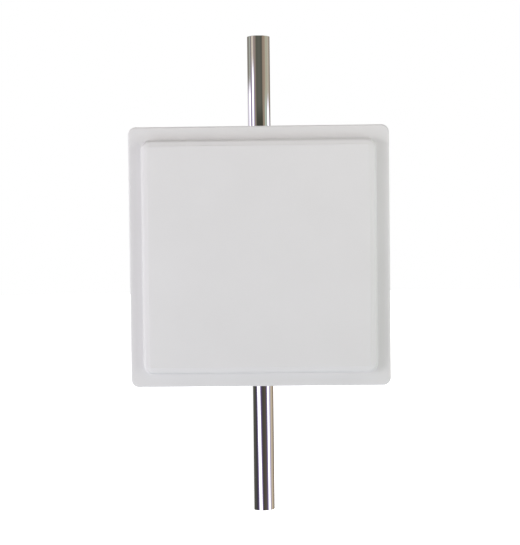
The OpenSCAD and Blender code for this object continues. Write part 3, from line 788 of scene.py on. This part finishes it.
make_mast_tube()
make_foot_bush()
fastener("m8_clamp_bolts", "clamp_bolts", clamp_bolt)
fastener("m8_bolt_washers", "clamp_bolt_washers", plain_washer(M8_R + M8_WASHER_GAP))
for jaw in ("upper", "lower"):
    fastener("m8_%s_jaw_nuts" % jaw, jaw + "_jaw_nuts", jaw_nut)
    fastener("m8_%s_jaw_washers" % jaw, jaw + "_jaw_washers", jaw_washer_pair)
for kind in ("pivot", "lock"):
    fastener("m8_%s_bolts" % kind, kind + "_bolts", cross_bolt)
    fastener("m8_%s_nuts" % kind, kind + "_nuts", cross_nut)
    fastener("m8_%s_washers" % kind, kind + "_washers", cross_washer)
fastener("m6_clinch_studs", "mount_studs", mount_stud)
fastener("m6_nuts", "stud_nuts", stud_nut)
fastener("m6_washers", "stud_washers", plain_washer(M6_R + M6_WASHER_GAP))
fastener("m6_split_washers", "stud_spring_washers", stud_spring)


# ---------------------------------------------------------------- plugs, screws and the connector


def vented_plug(bm, middle, lowest, highest):
    """A hexagonal plug with a low round cap, whose rim has six ports that let the housing breathe."""
    flats, head_h, bore_r, seal_r, seat_r = 16.0, 4.0, 3.5, 5.9, 7.6
    base = highest.y - head_h
    inside = lowest.y - base

    def port_ring(r, z):
        return [spoke(r - 0.9 if i % 8 in (3, 4, 5) else r, i, z) for i in range(AROUND)]

    ring = skin(bm, at(middle.x, base, middle.z, "+y"), [
        circle(1.0, 0.8), circle(bore_r, 0.8), circle(bore_r, inside), circle(seal_r - 0.3, inside),
        circle(seal_r, inside + 0.3), circle(seal_r, 0.0), circle(seat_r, 0.0), hex_ring(flats, 0.0, -1.0),
        hex_ring(flats, 2.7, 1.0), circle(seat_r, 2.7), circle(6.9, 2.7), port_ring(6.7, 2.85),
        port_ring(6.7, 3.5), circle(6.3, 3.85), circle(5.8, head_h), circle(4.4, head_h),
        circle(4.1, 3.75), circle(1.2, 3.7)])
    bm.faces.new(ring)


def earth_bolt(bm, middle, lowest, highest):
    flats, head_h, shank_r, thread_from, pitch = 8.0, 3.5, 2.5, 0.8, 0.8
    under_head = highest.y - head_h
    place = at(middle.x, under_head, middle.z, "-y")
    hex_bolt(bm, place, flats, head_h, shank_r, thread_from, under_head - lowest.y, pitch)


def ribbed_plug(bm, middle, lowest, highest):
    """The cup-shaped plug in the mast's top: three ribs that grip, and a dished top with a gate mark."""
    outer = (highest.x - lowest.x) / 2
    core = outer - 0.6
    bore = 15.45
    height = highest.z - lowest.z
    rings = [(4.0, 22.0), (bore - 0.6, 22.0), (bore, 21.4), (bore, 0.4), (bore + 0.4, 0.0)]
    rings += [(core - 0.4, 0.0), (core, 0.4)]
    for rib in (3.0, 9.0, 15.0):
        rings += [(core, rib), (outer, rib + 0.5), (outer, rib + 1.1), (core, rib + 1.5)]
    rings += [(core, 21.0), (outer - 0.2, 21.0), (outer, 21.2), (outer, height - 0.5), (outer - 0.5, height)]
    rings += [(outer - 2.6, height), (outer - 3.0, height - 0.35), (outer - 5.0, height - 0.7)]
    rings += [(outer - 9.0, height - 0.9), (3.2, height - 0.95), (2.9, height - 1.3), (1.4, height - 1.3)]
    rings += [(1.2, height - 1.0), (0.5, height - 0.95)]
    bm.faces.new(skin(bm, at(0, 0, lowest.z, "+z"), [circle(r, z) for r, z in rings]))


fastener("m4_cover_screws", "cover_screws", rear_screw(2.2, 2.5))
fastener("m3_connector_screws", "connector_screws", rear_screw(1.8, 2.0))
fastener("m3_patch_screws", "patch_screws", front_screw)
fastener("vented_plug", "vent_plug", vented_plug)
fastener("m5_earth_screw", "earth_screw", earth_bolt)
fastener("m5_earth_washers", "earth_washers", plain_washer(2.6))
fastener("ribbed_top_plug", "top_plug", ribbed_plug)


def rounded_square(half, corner_r, z):
    """A square ring with round corners. Each corner takes the middle third of its quarter's steps."""
    across = half - corner_r
    quarter = math.pi / 2
    ring = []
    for i in range(AROUND):
        a = math.tau * (i + 0.5) / AROUND
        quarter_start = math.floor(a / quarter) * quarter
        share = (a - quarter_start) / (quarter / 2) - 1
        if abs(share) < 1 / 3:
            turn = share * 3 * math.pi / 4 + math.pi / 4
            x = across + corner_r * math.cos(turn)
            y = across + corner_r * math.sin(turn)
        else:
            straight = across * (1 - (abs(share) - 1 / 3) * 1.5)
            x, y = (straight, half) if share > 0 else (half, straight)
        cos, sin = math.cos(quarter_start), math.sin(quarter_start)
        ring.append((x * cos - y * sin, x * sin + y * cos, z))
    return ring


def make_connector():
    """The panel socket: a square flange with round corners and a barrel with a 5/8-24 thread."""
    middle, lowest, highest = solids("connector_body")[0]
    flange_y, flange_t, corner_r = -86.0, 2.5, 2.0
    barrel_r, thread_depth, pitch = 7.94, 0.6, 1.058
    mouth_r, mouth_depth, bore_r = 6.4, 6.0, 4.2
    spigot_r, spigot_h, soft = 5.9, 2.0, 0.3
    half = (highest.x - lowest.x) / 2
    length = highest.y - flange_y
    neck_r = barrel_r - 0.35
    root_r = barrel_r - thread_depth
    bm = bmesh.new()
    place = at(middle.x, flange_y, middle.z, "+y")
    outside = [
        circle(bore_r, -flange_t - spigot_h), circle(spigot_r, -flange_t - spigot_h),
        circle(spigot_r, -flange_t - 0.05), rounded_square(half - soft, corner_r - soft, -flange_t),
        rounded_square(half, corner_r, -flange_t + soft), rounded_square(half, corner_r, -soft),
        rounded_square(half - soft, corner_r - soft, 0.0), circle(barrel_r + 0.5, 0.0), circle(neck_r, 0.5),
        circle(neck_r, 1.6), circle(barrel_r, 2.2)]
    made = loft(bm, [[place @ Vector(point) for point in ring] for ring in outside])
    end = thread(bm, place, made[-1], 2.2, length - 1.4, barrel_r, root_r, barrel_r - 0.02, pitch)
    inside = [
        circle(root_r, length - soft), circle(root_r - soft, length), circle(mouth_r + 0.2, length),
        circle(mouth_r, length - soft), circle(mouth_r, length - mouth_depth),
        circle(bore_r + 0.15, length - mouth_depth), circle(bore_r, length - mouth_depth - soft)]
    last = skin(bm, place, inside, first=end)
    band(bm, last, made[0])
    add_piece("coaxial_socket", bm, "connector_body", 28.0)


make_connector()

# ---------------------------------------------------------------- softer edges on the CAD pieces


def soften(node_name, width, segments=2):
    """Rounds a CAD piece's sharp edges by modifiers, which leave its mesh as it is. width is in mm."""
    target = nodes[node_name]
    weld = target.modifiers.new("weld", "WELD")
    weld.merge_threshold = 0.00001
    flat = target.modifiers.new("flat", "DECIMATE")
    flat.decimate_type = "DISSOLVE"
    flat.angle_limit = math.radians(0.5)
    bevel = target.modifiers.new("bevel", "BEVEL")
    bevel.width = width * MM
    bevel.segments = segments
    bevel.limit_method = "ANGLE"
    bevel.angle_limit = math.radians(32.0)
    bevel.use_clamp_overlap = True
    normals = target.modifiers.new("normals", "WEIGHTED_NORMAL")
    normals.keep_sharp = True
    normals.weight = 80


for node_name in ("front_jaw_upper", "front_jaw_lower", "rear_jaw_upper", "rear_jaw_lower"):
    soften(node_name, 1.1, 3)
for node_name in ("mast_bracket", "left_hinge_bracket", "right_hinge_bracket", "back_plate", "clamp_liner"):
    soften(node_name, 0.3)
for node_name in (
        "connector_insulator", "connector_contact", "board_spacers", "patch_posts",
        "patch_upper_left", "patch_upper_right", "patch_lower_left", "patch_lower_right"):
    soften(node_name, 0.2)

# ---------------------------------------------------------------- camera

CAMERA_SIDE = 0.052
CAMERA_AWAY = 2.5
CAMERA_UP = 0.044
YAW = math.radians(1.23)
PITCH = math.radians(-1.71)
ROLL = math.radians(-0.655)

camera_data = bpy.data.cameras.new("camera")
camera = bpy.data.objects.new("camera", camera_data)
scene.collection.objects.link(camera)
scene.camera = camera
camera_data.sensor_width = 36.0
camera_data.lens = 92.8
camera_data.clip_start = 0.1
camera_data.clip_end = 60.0
camera.location = (CAMERA_SIDE, -CAMERA_AWAY, centre_z + CAMERA_UP)
level_look = Matrix.Rotation(YAW, 4, "Z") @ Matrix.Rotation(math.pi / 2 + PITCH, 4, "X")
camera.rotation_euler = (level_look @ Matrix.Rotation(ROLL, 4, "Z")).to_euler()

# ---------------------------------------------------------------- studio

# The soft light on matt surfaces: where it comes from, and its colour and strength.
SOFT_LIGHT = (
    ((-1, 0, 0), (1.01, 0.96, 0.98, 1)),
    ((1, 0, 0), (0.56, 0.55, 0.55, 1)),
    ((0, 0, -1), (0.69, 0.70, 0.75, 1)),
    ((0, 1, 0), (0.55, 0.55, 0.55, 1)),
)
AMBIENT = (0.054, 0.059, 0.062, 1)
# Each soft box: name, place from the panel's centre, watts, tint.
LAMPS = (
    ("left_box", (-1.1, -1.2, 0.0), 6.4, (0.985, 0.965, 1.0)),
    ("left_low_box", (-1.1, -1.2, -0.6), 1.9, (0.90, 0.95, 1.0)),
    ("right_box", (1.1, -1.2, 0.0), 3.05, (1.0, 0.94, 0.85)),
    ("right_low_box", (1.1, -1.2, -0.6), 2.7, (0.90, 1.0, 0.95)),
    ("right_high_box", (1.0, -0.6, 0.5), 1.7, (0.95, 1.0, 0.97)),
    ("top_box", (0.0, -0.9, 1.0), 1.7, (1.0, 0.88, 0.78)),
)
LAMP_SIZE = 0.5
CAMERA_WHITE = (1.0, 1.0, 1.0, 1)

# The mirrored room's display colours all the way round, as (degrees, colour). 0 is in front of the panel.
UPPER_ROOM = (
    (-180, (110, 100, 96)), (-150, (128, 120, 112)), (-115, (140, 138, 130)), (-108, (176, 178, 170)),
    (-93, (172, 176, 168)), (-86, (122, 108, 118)), (-80, (140, 128, 126)), (-72, (226, 216, 202)),
    (-60, (222, 210, 196)), (-52, (160, 146, 144)), (-36, (150, 136, 128)), (-28, (130, 122, 110)),
    (-24, (92, 92, 84)), (8, (100, 100, 92)), (34, (86, 86, 78)), (40, (150, 134, 118)),
    (66, (166, 148, 132)), (76, (184, 182, 162)), (92, (176, 176, 158)), (104, (196, 188, 172)),
    (120, (182, 172, 158)), (140, (150, 134, 120)), (152, (96, 86, 80)), (180, (110, 100, 96)),
)
LOWER_ROOM = (
    (-180, (96, 92, 84)), (-108, (82, 82, 76)), (-92, (86, 86, 77)), (-80, (82, 82, 76)),
    (-68, (62, 62, 66)), (-60, (74, 66, 80)), (-14, (90, 78, 124)), (-4, (80, 70, 90)), (6, (74, 70, 64)),
    (20, (84, 78, 70)), (32, (92, 84, 74)), (42, (90, 78, 104)), (76, (194, 190, 210)),
    (90, (188, 180, 186)), (104, (208, 192, 166)), (122, (180, 164, 144)), (134, (150, 134, 120)),
    (156, (112, 98, 88)), (180, (96, 92, 84)),
)
# Heights above eye level, in degrees: where a strip's lean is nought, and under which it leans no further.
LEAN_ZERO = -5.8
LEAN_END = -14.0
STRIP_FOOT = -60.0
STRIP_SOFT = 1.5
FRINGE_WIDTH = 7
FRINGE_SOFT = 4.0


def painted_room(graph, azimuth, height):
    """The room that glossy surfaces mirror: dim walls with tall strips in them. Angles are in degrees."""
    around = graph.step(azimuth, -180.0, 180.0, 0.0, 1.0, False)

    def walls(colours):
        return graph.ramp(around, [((degrees + 180.0) / 360.0, lin(*colour)) for degrees, colour in colours])

    def strip(left, right, top, lean, soft):
        """How much of a strip is seen. left and right hold at LEAN_ZERO, and soft blurs its sides."""
        above = graph.math("SUBTRACT", graph.math("MAXIMUM", height, LEAN_END), LEAN_ZERO)
        moved = graph.math("SUBTRACT", azimuth, graph.math("MULTIPLY", above, lean))
        past_left = graph.step(moved, left - soft, left + soft)
        before_right = graph.step(moved, right - soft, right + soft, 1.0, 0.0)
        under_top = graph.step(height, top - 0.5, top + 0.5, 1.0, 0.0)
        over_foot = graph.step(height, STRIP_FOOT - 8, STRIP_FOOT + 8)
        sides = graph.math("MULTIPLY", past_left, before_right)
        return graph.math("MULTIPLY", sides, graph.math("MULTIPLY", under_top, over_foot))

    room = graph.mix(graph.step(height, -6.0, -1.0), walls(LOWER_ROOM), walls(UPPER_ROOM))

    # Out of what the mast mirrors towards the photograph's camera, the room is a plain pale studio.
    is_behind = graph.step(graph.math("ABSOLUTE", azimuth), 158.0, 165.0)
    beyond = graph.math("MAXIMUM", graph.step(height, 12.0, 24.0), is_behind)
    room = graph.mix(beyond, room, lin(206, 206, 204))
    room = graph.mix(graph.step(height, -40.0, -16.0, 1.0, 0.0), room, lin(158, 158, 156))

    white = (1.7, 1.7, 1.7, 1)
    wall_white = (1.15, 1.15, 1.15, 1)
    fringe = lin(180, 166, 214)
    pale = lin(224, 218, 230)
    is_low = graph.step(height, -6.0, -4.0, 1.0, 0.0)
    is_high = graph.step(height, -4.0, -2.0)
    is_ceiling = graph.step(height, 18.0, 26.0)
    is_edge = graph.math("MULTIPLY", is_low, graph.step(height, -20.0, -13.0))
    # Each strip: its zone, left, right, top, lean sideways for each degree of height, and colour.
    strips = (
        (is_ceiling, -25, 30, 80, 0.0, lin(120, 120, 116)),
        (is_ceiling, 90, 135, 80, 0.0, lin(104, 104, 102)),
        (is_ceiling, -150, -105, 80, 0.0, lin(112, 112, 110)),
        (is_ceiling, -72, -36, 80, 0.0, white),
        (is_ceiling, 44, 66, 80, 0.0, white),
        (is_high, -22, 40, 4.8, 0.0, lin(70, 70, 62)),
        (is_high, 62, 84, 5.4, 0.0, lin(184, 198, 184)),
        (is_high, -152, -112, 5.8, 0.0, pale),
        (is_high, 118, 140, 4.6, 0.0, pale),
        (is_edge, -200, -109, 10, 0.0, wall_white),
        (is_low, -52, -24, 10, -2.6, white),
        (is_low, 52, 72, 10, -1.2, white),
        (is_high, -114, -93, 5.8, 0.0, white),
        (is_high, -70, -53, 6.6, 0.0, white),
        (is_high, 95, 118, 5.2, 0.0, white),
    )
    for zone, left, right, top, lean, colour in strips:
        if colour == white:
            halo = strip(left - FRINGE_WIDTH, right + FRINGE_WIDTH, top, lean, FRINGE_SOFT)
            room = graph.mix(graph.math("MULTIPLY", halo, zone), room, fringe)
        core = strip(left, right, top, lean, STRIP_SOFT)
        room = graph.mix(graph.math("MULTIPLY", core, zone), room, colour)
    return room


def make_world():
    """Chrome sees the painted room, matt surfaces get an even soft light, and the camera sees plain white."""
    world = bpy.data.worlds.new("studio")
    scene.world = world
    world.use_nodes = True
    world.node_tree.nodes.clear()
    graph = Graph(world.node_tree)
    direction = graph.new("ShaderNodeTexCoord").outputs["Generated"]
    parts = graph.new("ShaderNodeSeparateXYZ")
    graph.put(direction, parts.inputs[0])
    x, y, z = parts.outputs
    turned = graph.math("ARCTAN2", x, graph.math("MULTIPLY", y, -1.0))
    azimuth = graph.math("MULTIPLY", turned, 180 / math.pi)
    height = graph.math("MULTIPLY", graph.math("ARCSINE", z), 180 / math.pi)
    room = painted_room(graph, azimuth, height)

    soft = AMBIENT
    for way, colour in SOFT_LIGHT:
        facing = graph.new("ShaderNodeVectorMath", operation="DOT_PRODUCT")
        graph.put(direction, facing.inputs[0])
        facing.inputs[1].default_value = way
        lobe = graph.math("POWER", graph.math("MAXIMUM", facing.outputs["Value"], 0.0), 1.5)
        soft = graph.mix(lobe, soft, colour, "ADD")

    path = graph.new("ShaderNodeLightPath")
    seen = graph.mix(path.outputs["Is Glossy Ray"], soft, room)
    seen = graph.mix(path.outputs["Is Camera Ray"], seen, CAMERA_WHITE)
    background = graph.new("ShaderNodeBackground")
    graph.put(seen, background.inputs["Color"])
    output = graph.new("ShaderNodeOutputWorld")
    graph.links.new(background.outputs[0], output.inputs["Surface"])


def make_lamp(name, place, watts, colour):
    """A square soft box aimed at the panel's front. Mirrors don't see it."""
    centre = Vector((0.0, 0.0, centre_z))
    target = centre + Vector((0.0, -0.1, 0.0))
    data = bpy.data.lights.new(name, "AREA")
    data.shape = "SQUARE"
    data.size = LAMP_SIZE
    data.energy = watts
    data.color = colour
    lamp = bpy.data.objects.new(name, data)
    scene.collection.objects.link(lamp)
    lamp.location = centre + Vector(place)
    lamp.rotation_euler = (target - lamp.location).to_track_quat("-Z", "Y").to_euler()
    lamp.visible_glossy = False


def make_floor():
    """A wide pale floor well below the part, pale enough to meet the background without a line."""
    bm = bmesh.new()
    bmesh.ops.create_circle(bm, cap_ends=True, segments=96, radius=26.0)
    mesh = bpy.data.meshes.new("floor")
    bm.to_mesh(mesh)
    bm.free()
    floor = bpy.data.objects.new("floor", mesh)
    scene.collection.objects.link(floor)
    floor.location = (0, 0, -0.75)
    material, graph, shader = new_material("pale_floor")
    mottle = graph.noise(graph.place(), 3.0, 3.0, 0.55)
    graph.put(graph.mix(mottle, (0.90, 0.90, 0.90, 1), (0.92, 0.92, 0.92, 1)), shader.inputs["Base Color"])
    shader.inputs["Roughness"].default_value = 0.9
    shader.inputs["Emission Color"].default_value = (1, 1, 1, 1)
    shader.inputs["Emission Strength"].default_value = 1.3
    mesh.materials.append(material)
    floor.visible_glossy = False
    floor.visible_diffuse = False


make_world()
for lamp_settings in LAMPS:
    make_lamp(*lamp_settings)
make_floor()

scene.view_settings.view_transform = "Standard"
scene.view_settings.look = "None"
